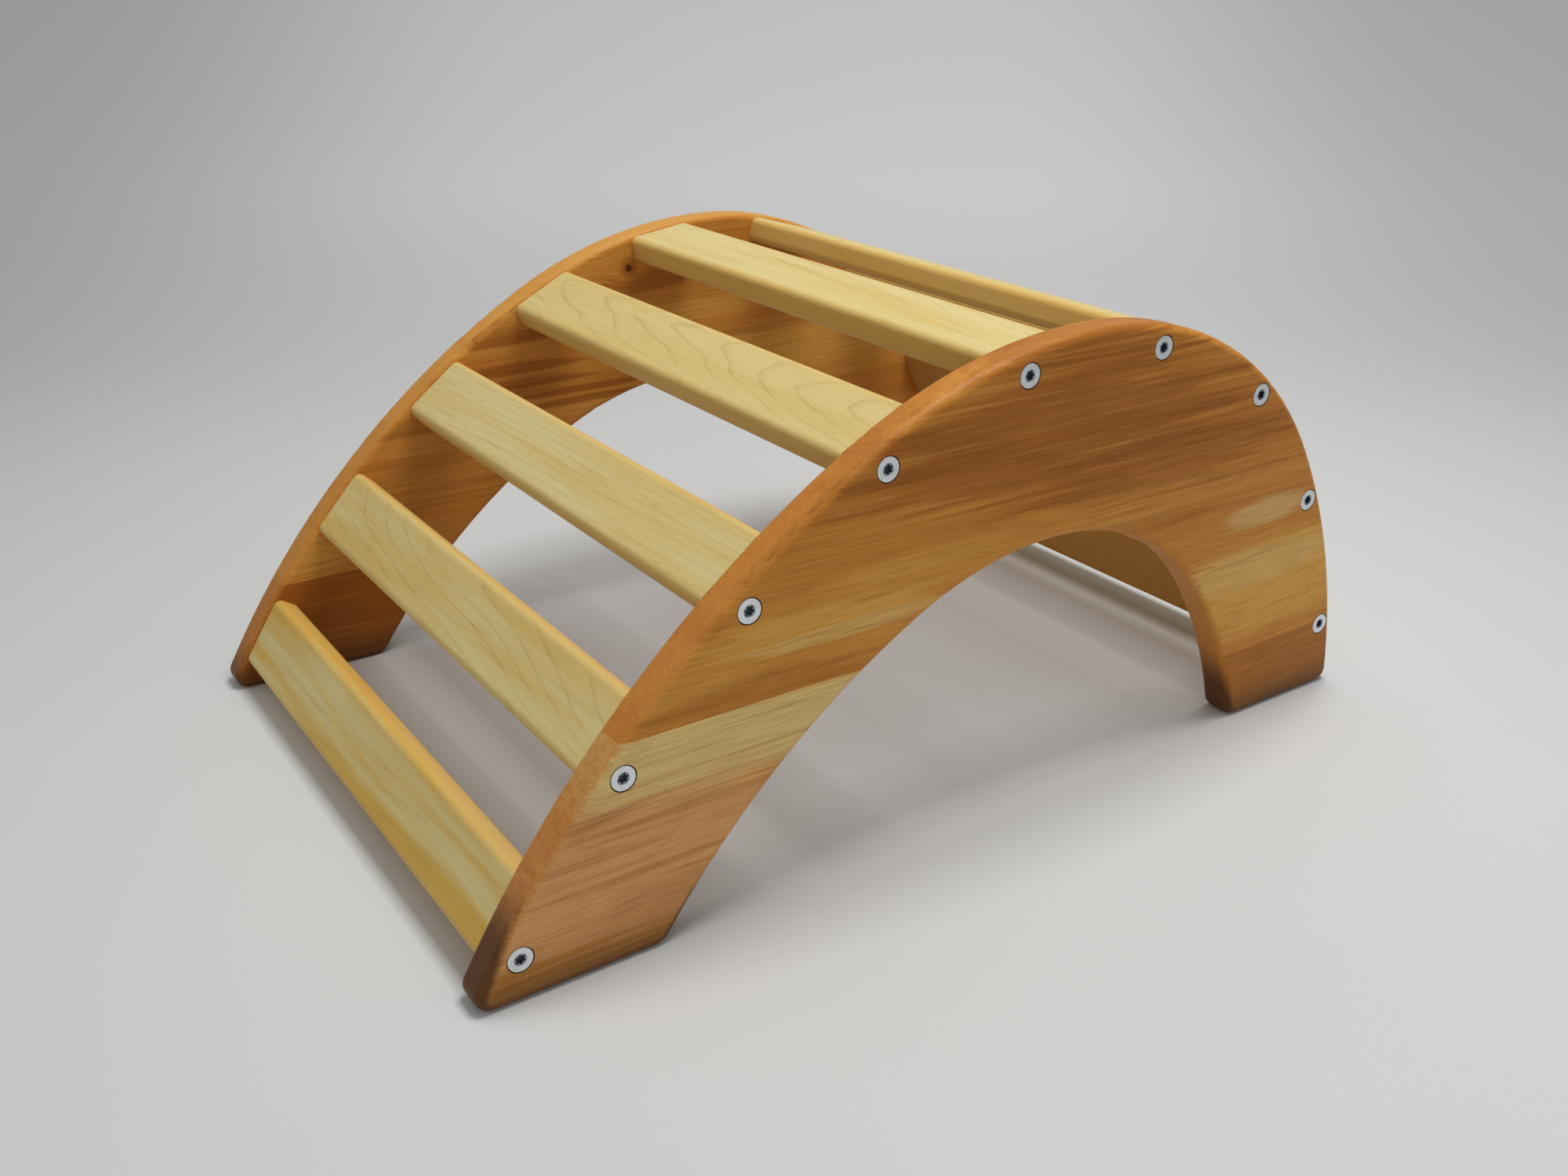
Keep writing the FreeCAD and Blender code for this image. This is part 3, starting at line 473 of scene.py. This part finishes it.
def plated_screws(slat, steel):
    """Hardened steel screws, cold-headed and bright zinc-plated.

    The eye gets satin blue-white heads with duller clouds, and sockets that look nearly black.
    """
    material, tree = new_material(f"zinc_plated_steel_{slat}")
    point = add_node(tree, "ShaderNodeTexCoord").outputs["Object"]
    spangle = add_node(tree, "ShaderNodeTexNoise", {}, {
        "Vector": point, "Scale": 1 / (PLATING_GRAIN * MM), "Detail": 3.0}).outputs["Fac"]
    clouds = add_node(tree, "ShaderNodeTexNoise", {}, {
        "Vector": point, "Scale": 1 / (PLATING_CLOUD * MM), "Detail": 2.0}).outputs["Fac"]
    dull = (*steel.dull, 1)
    colour = stain(tree, (*steel.plating, 1), dull, clouds, 0.45, 0.75, 0.15)
    # The photograph shows nearly black sockets, so their walls take a darker grey than the head
    # Painted shade: the walls of the socket's recess are darkened
    in_socket = from_screws(tree, [slat])
    colour = stain(tree, colour, (*steel.socket, 1), in_socket, *SOCKET_MOUTH, 0.95)
    shine = add_node(tree, "ShaderNodeMapRange", {}, {
        "Value": spangle, "From Min": 0.3, "From Max": 0.7,
        "To Min": steel.roughness - 0.06, "To Max": steel.roughness + 0.08}).outputs[0]
    relief = add_node(tree, "ShaderNodeBump", {}, {
        "Height": spangle, "Strength": 0.2, "Distance": 0.03 * MM}).outputs[0]
    shader = add_node(tree, "ShaderNodeBsdfPrincipled", {}, {
        "Base Color": colour, "Metallic": 1.0, "Roughness": shine, "Normal": relief}).outputs[0]
    add_node(tree, "ShaderNodeOutputMaterial", {}, {"Surface": shader})
    return material


def dress(node, material):
    """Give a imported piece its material."""
    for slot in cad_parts[node].material_slots:
        slot.material = material


# Golden, pale, tan and dark patches of a board: along the bench and up from the floor, half length,
# half height, all in mm, and strength. A knot is its place likewise and its radius, and the toe is how
# far up the curved edge the painted shade near the floor and the gathered finish reach, in mm. Coarse
# is how wide the streaks are beside the usual, and rim how golden a painted highlight makes the edge
# that faces up
NEAR_BOARDS = {
    "near_crown_board": {
        "seed": 11.0,
        "coarse": 0.9,
        "toe": 55,
        "gold": [(-130, 176, 90, 12, 0.8), (-60, 198, 70, 8, 0.4), (-235, 160, 60, 10, 0.4)],
        "pale": [(252, 162, 46, 9, 0.55), (-110, 168, 70, 5, 0.4)],
        "dark": [(55, 258, 150, 40, 0.62), (150, 222, 110, 24, 0.5), (-70, 262, 80, 14, 0.4),
                 (-225, 192, 30, 9, 0.45), (-170, 147, 80, 8, 0.3), (120, 178, 90, 8, 0.3),
                 (20, 316, 170, 16, 0.6)],
    },
    "near_front_leg_board": {
        "seed": 23.0,
        "coarse": 0.5,
        "toe": 49,
        "gold": [(-300, 78, 90, 14, 0.45), (-330, 50, 60, 8, 0.4)],
        "pale": [(-190, 125, 150, 36, 1.0)],
        "tan": [(-250, 58, 170, 46, 0.9)],
        "dark": [(-200, 34, 90, 14, 0.25), (-310, 97, 60, 4, 0.2), (-260, 56, 80, 3, 0.3),
                 (-290, 74, 70, 2.5, 0.3), (-230, 88, 80, 2.5, 0.25)],
    },
    "near_rear_leg_board": {
        "seed": 37.0,
        "coarse": 0.7,
        "toe": 30,
        "gold": [(280, 108, 130, 42, 0.9)],
        "pale": [(250, 120, 90, 14, 0.4)],
        "dark": [(290, 28, 120, 32, 0.5)],
    },
}
FAR_BOARDS = {
    "far_crown_board": {
        "seed": 51.0,
        "coarse": 1.0,
        "toe": 10,
        "rim": 0.5,
        "gold": [(-290, 98, 70, 18, 0.5), (-80, 262, 60, 10, 0.5), (60, 240, 70, 9, 0.6),
                 (170, 196, 110, 22, 0.75)],
        "dark": [(-100, 238, 60, 5, 0.6), (-120, 214, 65, 5, 0.7), (-110, 202, 70, 4, 0.7),
                 (-60, 190, 60, 3, 0.7), (-50, 181, 60, 3, 0.7), (-130, 196, 50, 8, 0.4),
                 (10, 270, 40, 10, 0.55), (150, 216, 100, 4, 0.3), (-200, 180, 50, 6, 0.5),
                 (-215, 150, 70, 12, 0.25)],
        "knot": (-5, 282, 3.2),
    },
    "far_front_leg_board": {
        "seed": 67.0,
        "coarse": 0.9,
        "toe": 10,
        "rim": 0.5,
        "gold": [(-230, 20, 60, 8, 0.35)],
        "dark": [(-290, 40, 130, 60, 0.8)],
    },
    "far_rear_leg_board": {
        "seed": 71.0,
        "coarse": 0.9,
        "toe": 10,
        "gold": [(280, 60, 90, 14, 0.4)],
        "dark": [(290, 30, 120, 30, 0.5)],
    },
}
# Pith off the slat's middle, across and below, and wave of its rings, in mm, the slope at which
# the pith draws nearer, and the strength of its golden clouds, ring lines and flecks
SLATS = {
    "slat_1": {"pith": (-30, 90), "taper": 0.02, "wave": 6, "seed": 1.0, "gold": 1.00,
               "lines": 0.16, "flecks": 0.15},
    "slat_2": {"pith": (20, 60), "taper": 0.05, "wave": 6, "seed": 2.0, "gold": 0.65,
               "lines": 0.26, "flecks": 0.20},
    "slat_3": {"pith": (-60, 60), "taper": 0.03, "wave": 6, "seed": 3.0, "gold": 0.40,
               "lines": 0.28, "flecks": 0.60},
    "slat_4": {"pith": (8, 40), "taper": 0.06, "wave": 8, "seed": 4.0, "gold": 0.35,
               "lines": 0.27, "flecks": 0.50},
    "slat_5": {"pith": (40, 90), "taper": 0.04, "wave": 7, "seed": 5.0, "gold": 0.45,
               "lines": 0.22, "flecks": 0.30},
    "slat_6": {"pith": (-10, 50), "taper": 0.10, "wave": 8, "seed": 6.0, "gold": 0.60,
               "lines": 0.30, "flecks": 0.20},
    "slat_7": {"pith": (30, 80), "taper": 0.06, "wave": 8, "seed": 7.0, "gold": 0.70,
               "lines": 0.25, "flecks": 0.20},
    "slat_8": {"pith": (-50, 70), "taper": 0.05, "wave": 8, "seed": 8.0, "gold": 0.70,
               "lines": 0.25, "flecks": 0.20},
    "slat_9": {"pith": (20, 60), "taper": 0.08, "wave": 8, "seed": 9.0, "gold": 0.70,
               "lines": 0.25, "flecks": 0.20},
}


class BENCH_OT_near_panel(bpy.types.Operator):
    """Finish the three boards of the near side panel"""

    bl_idname = "bench.near_panel"
    bl_label = "Near Panel"

    def execute(self, context):
        for node, looks in NEAR_BOARDS.items():
            dress(node, alder_board(node, context.scene.bench_panels, looks))
        return {"FINISHED"}


class BENCH_OT_far_panel(bpy.types.Operator):
    """Finish the three boards of the far side panel"""

    bl_idname = "bench.far_panel"
    bl_label = "Far Panel"

    def execute(self, context):
        for node, looks in FAR_BOARDS.items():
            dress(node, alder_board(node, context.scene.bench_panels, looks))
        return {"FINISHED"}


class BENCH_OT_slats(bpy.types.Operator):
    """Finish the cross slats, each with its own figure"""

    bl_idname = "bench.slats"
    bl_label = "Slats"

    def execute(self, context):
        for node, looks in SLATS.items():
            dress(node, birch_slat(node, context.scene.bench_slats, looks))
        return {"FINISHED"}


class BENCH_OT_dowels(bpy.types.Operator):
    """Finish the hidden dowels"""

    bl_idname = "bench.dowels"
    bl_label = "Dowels"

    def execute(self, context):
        wood = context.scene.bench_dowels
        # Beech, turned and left bare: even pinkish brown with short brown rays along the grain
        material, tree = new_material("turned_beech")
        coordinates = board_coordinates(tree, Board((0, 0, 0), (0, 1, 0), (0, 0, 1)))
        rays = grain_noise(tree, coordinates, BEECH_RAYS, 2.0, 1.0)
        fibres = grain_noise(tree, coordinates, BEECH_FIBRES, 5.0)
        colour = stain(tree, (*wood.ground, 1), (*wood.ray, 1), rays, 0.6, 0.7, 0.6)
        finish_timber(tree, colour, fibres, contrast=0.05, roughness=0.6, gloss=0.3, depth=0.1)
        for node in SLATS:
            dress(f"{node}_dowels", material)
        return {"FINISHED"}


class BENCH_OT_screws(bpy.types.Operator):
    """Finish the countersunk screws"""

    bl_idname = "bench.screws"
    bl_label = "Screws"

    def execute(self, context):
        for slat in SLATS:
            dress(f"{slat}_screws", plated_screws(slat, context.scene.bench_screws))
        return {"FINISHED"}


def paper_directions(look):
    """Level unit vectors from the camera towards the backdrop, and along the backdrop."""
    away = Vector(look.aim) - Vector(look.eye)
    back = Vector((away.x, away.y, 0)).normalized()
    return back, Vector((back.y, -back.x, 0))


def sweep_mesh(name, look):
    """Floor paper that bends up into a backdrop, away from the camera."""
    back, side = paper_directions(look)
    # In metres, from the bench's middle
    floor_front, floor_back, bend, top, half_width = -6.0, 0.8, 1.7, 3.5, 8.0
    profile = [(floor_front, 0.0), (floor_back, 0.0)]
    bend_steps = 24
    for step in range(1, bend_steps + 1):
        angle = math.pi / 2 * step / bend_steps
        profile.append((floor_back + bend * math.sin(angle), bend * (1 - math.cos(angle))))
    profile.append((floor_back + bend, top))
    mesh = bmesh.new()
    rows = [[mesh.verts.new(back * reach + side * across + Vector((0, 0, height)))
             for across in (-half_width, half_width)] for reach, height in profile]
    for row, following in zip(rows, rows[1:]):
        mesh.faces.new((row[0], row[1], following[1], following[0])).smooth = True
    data = bpy.data.meshes.new(name)
    bmesh.ops.recalc_face_normals(mesh, faces=mesh.faces)
    mesh.to_mesh(data)
    mesh.free()
    return data


class BENCH_OT_stage(bpy.types.Operator):
    """Set up the floor, the lamps and the camera"""

    bl_idname = "bench.stage"
    bl_label = "Stage"

    def execute(self, context):
        look = context.scene.bench_stage
        scene = context.scene
        sweep = bpy.data.objects.new("paper_sweep", sweep_mesh("paper_sweep", look))
        scene.collection.objects.link(sweep)
        # Background paper, rolled and uncoated: matt, even grey-white with a trace of cloudiness
        material, tree = new_material("matt_background_paper")
        point = add_node(tree, "ShaderNodeTexCoord").outputs["Object"]
        clouds = add_node(tree, "ShaderNodeTexNoise", {}, {"Vector": point, "Scale": 2.0}).outputs[0]
        colour = stain(tree, (*look.paper, 1), (*look.cloud, 1), clouds, 0.3, 0.7, 0.06)
        # The bend stands in less light, so the paper is paler there; towards its sides it is greyer,
        # painted shade
        height = add_node(tree, "ShaderNodeSeparateXYZ", {}, {0: point}).outputs["Z"]
        colour = stain(tree, colour, (*look.backdrop, 1), height, 0.0, 0.16, 1.0)
        to_side = add_node(tree, "ShaderNodeVectorMath", {"operation": "DOT_PRODUCT"},
                           {0: point, 1: paper_directions(look)[1]}).outputs["Value"]
        from_middle = add_node(tree, "ShaderNodeMath", {}, {0: to_side, 1: 0.04}).outputs[0]
        off_middle = add_node(tree, "ShaderNodeMath", {"operation": "ABSOLUTE"},
                              {0: from_middle}).outputs[0]
        colour = stain(tree, colour, (*look.side_paper_shade, 1), off_middle, 0.40, 1.25, 0.78)
        shader = add_node(tree, "ShaderNodeBsdfPrincipled", {}, {
            "Base Color": colour, "Roughness": 0.9, "Specular IOR Level": 0.15}).outputs[0]
        add_node(tree, "ShaderNodeOutputMaterial", {}, {"Surface": shader})
        sweep.data.materials.append(material)

        world = bpy.data.worlds.new("room")
        world.use_nodes = True
        world.node_tree.nodes.clear()
        glow = add_node(world.node_tree, "ShaderNodeBackground", {}, {
            "Color": (*linear("#ffffff"), 1), "Strength": look.room_light}).outputs[0]
        add_node(world.node_tree, "ShaderNodeOutputWorld", {}, {"Surface": glow})
        scene.world = world

        lamp = bpy.data.lights.new("soft_box", "AREA")
        lamp.shape = "SQUARE"
        lamp.size = look.lamp_size
        lamp.energy = look.lamp_power
        soft_box = bpy.data.objects.new("soft_box", lamp)
        soft_box.location = look.lamp_place
        scene.collection.objects.link(soft_box)

        camera = bpy.data.cameras.new("camera")
        camera.sensor_width = 36
        camera.lens = look.lens
        camera.dof.use_dof = False
        viewer = bpy.data.objects.new("camera", camera)
        sight = Vector(look.aim) - Vector(look.eye)
        turn = sight.to_track_quat("-Z", "Y").to_matrix() @ Matrix.Rotation(look.roll, 3, "Z")
        viewer.matrix_world = Matrix.Translation(look.eye) @ turn.to_4x4()
        scene.collection.objects.link(viewer)
        scene.camera = viewer
        scene.view_settings.view_transform = "Standard"
        return {"FINISHED"}


class BENCH_PT_sidebar(bpy.types.Panel):
    """Finishes of the bench and its stage"""

    bl_idname = "BENCH_PT_sidebar"
    bl_label = "Bench"
    bl_space_type = "VIEW_3D"
    bl_region_type = "UI"
    bl_category = "Bench"

    def draw(self, context):
        for name, operators in PARTS.items():
            box = self.layout.box()
            group = getattr(context.scene, name)
            for setting in group.__annotations__:
                box.prop(group, setting)
            for operator in operators:
                box.operator(operator.bl_idname)


GROUPS = {
    "bench_panels": PanelWood,
    "bench_slats": SlatWood,
    "bench_dowels": DowelWood,
    "bench_screws": ScrewSteel,
    "bench_stage": StageLook,
}
PARTS = {
    "bench_panels": (BENCH_OT_near_panel, BENCH_OT_far_panel),
    "bench_slats": (BENCH_OT_slats,),
    "bench_dowels": (BENCH_OT_dowels,),
    "bench_screws": (BENCH_OT_screws,),
    "bench_stage": (BENCH_OT_stage,),
}
CLASSES = (*GROUPS.values(), *(o for operators in PARTS.values() for o in operators),
           BENCH_PT_sidebar)


def register():
    for item in CLASSES:
        bpy.utils.register_class(item)
    for name, group in GROUPS.items():
        setattr(bpy.types.Scene, name, bpy.props.PointerProperty(type=group))


def unregister():
    for name in GROUPS:
        delattr(bpy.types.Scene, name)
    for item in reversed(CLASSES):
        bpy.utils.unregister_class(item)


def main():
    register()
    bpy.ops.bench.near_panel()
    bpy.ops.bench.far_panel()
    bpy.ops.bench.slats()
    bpy.ops.bench.dowels()
    bpy.ops.bench.screws()
    bpy.ops.bench.stage()


if __name__ == "__main__":
    main()
